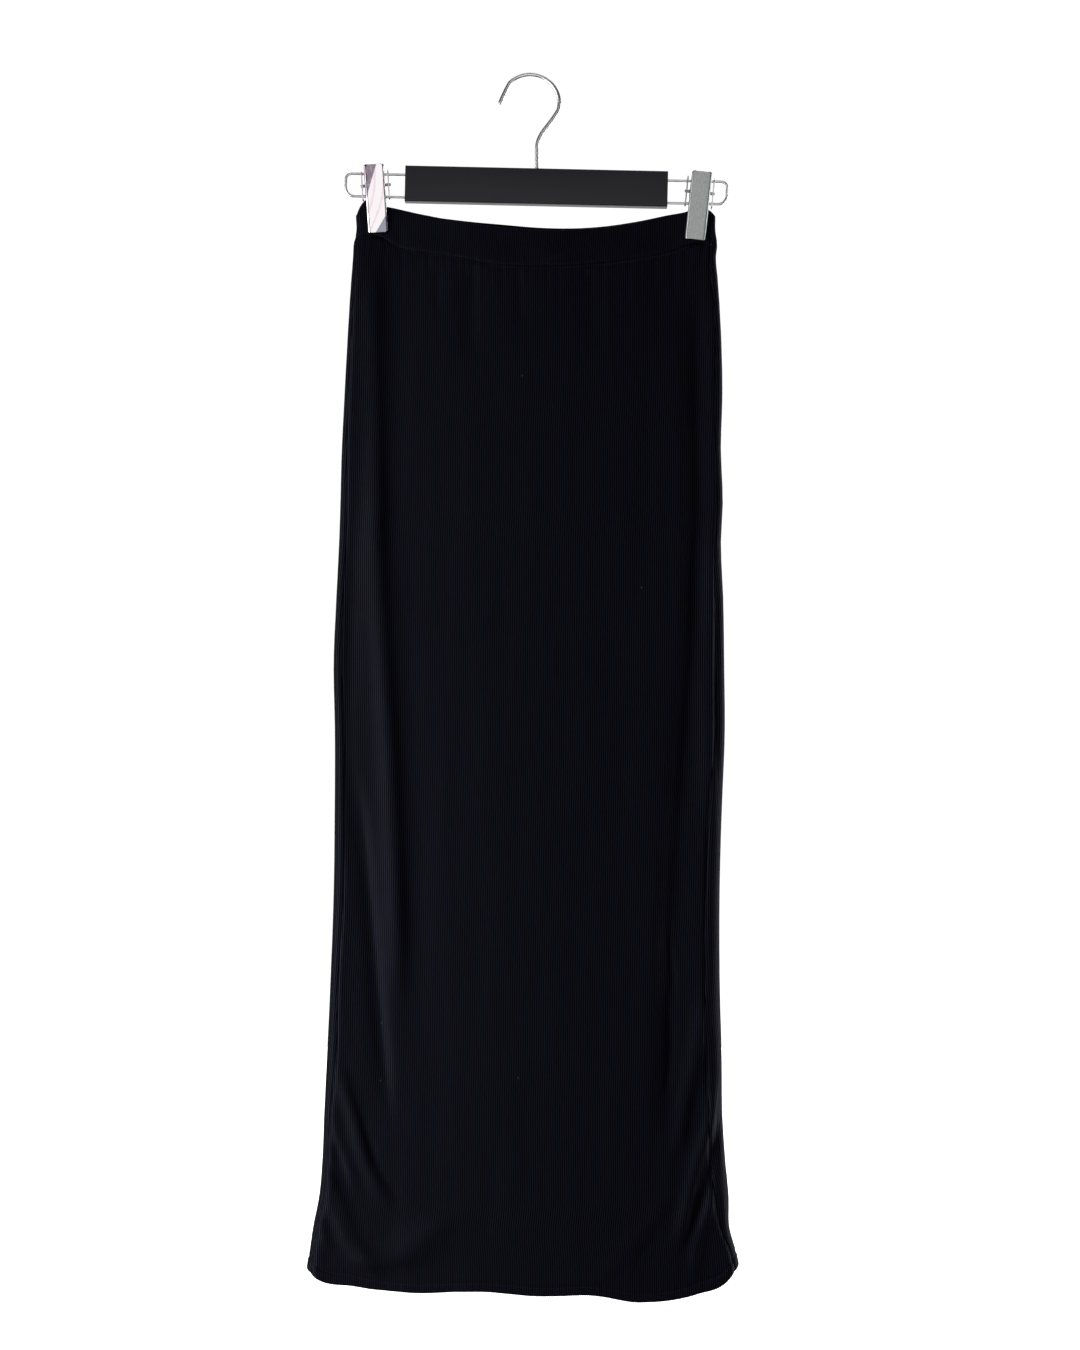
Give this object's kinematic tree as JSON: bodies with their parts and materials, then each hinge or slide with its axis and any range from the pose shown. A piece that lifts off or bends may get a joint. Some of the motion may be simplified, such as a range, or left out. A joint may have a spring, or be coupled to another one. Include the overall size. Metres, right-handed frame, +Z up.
{
  "type": "maxi skirt on a clip hanger",
  "caption": "Long ribbed knit skirt with a doubled waistband and narrow hem, hung flat by its waistband from a bar hanger with spring clips.",
  "frame": {"origin": "the inside top of the hook's crook, where a rail bears on the wire", "axes": "+Z up, from the hem to the hook; the skirt's front faces -Y; +X is the viewer's right from the front"},
  "size_m": [0.3926, 0.0488, 1.1149],
  "materials": {
    "knit": "black rib knit with a soft sheen",
    "bar": "satin black",
    "chrome": "polished",
    "steel": "brushed",
    "pad": "matt, translucent"
  },
  "bodies": {
    "root": {"front_panel": "knit", "back_panel": "knit", "waistband_front": "knit", "waistband_back": "knit", "hanger_bar": "bar", "hanger_hook": "chrome", "hanger_loop_left": "chrome", "hanger_loop_right": "chrome", "clip_left_front_plate": "chrome", "clip_left_back_plate": "chrome", "clip_left_inner_cheek": "steel", "clip_left_outer_cheek": "steel", "clip_left_pin": "steel", "clip_left_spring": "steel", "clip_left_front_pad": "pad", "clip_left_back_pad": "pad", "clip_right_front_plate": "steel", "clip_right_back_plate": "steel", "clip_right_inner_cheek": "steel", "clip_right_outer_cheek": "steel", "clip_right_pin": "steel", "clip_right_spring": "steel", "clip_right_front_pad": "pad", "clip_right_back_pad": "pad"}
  },
  "joints": []
}
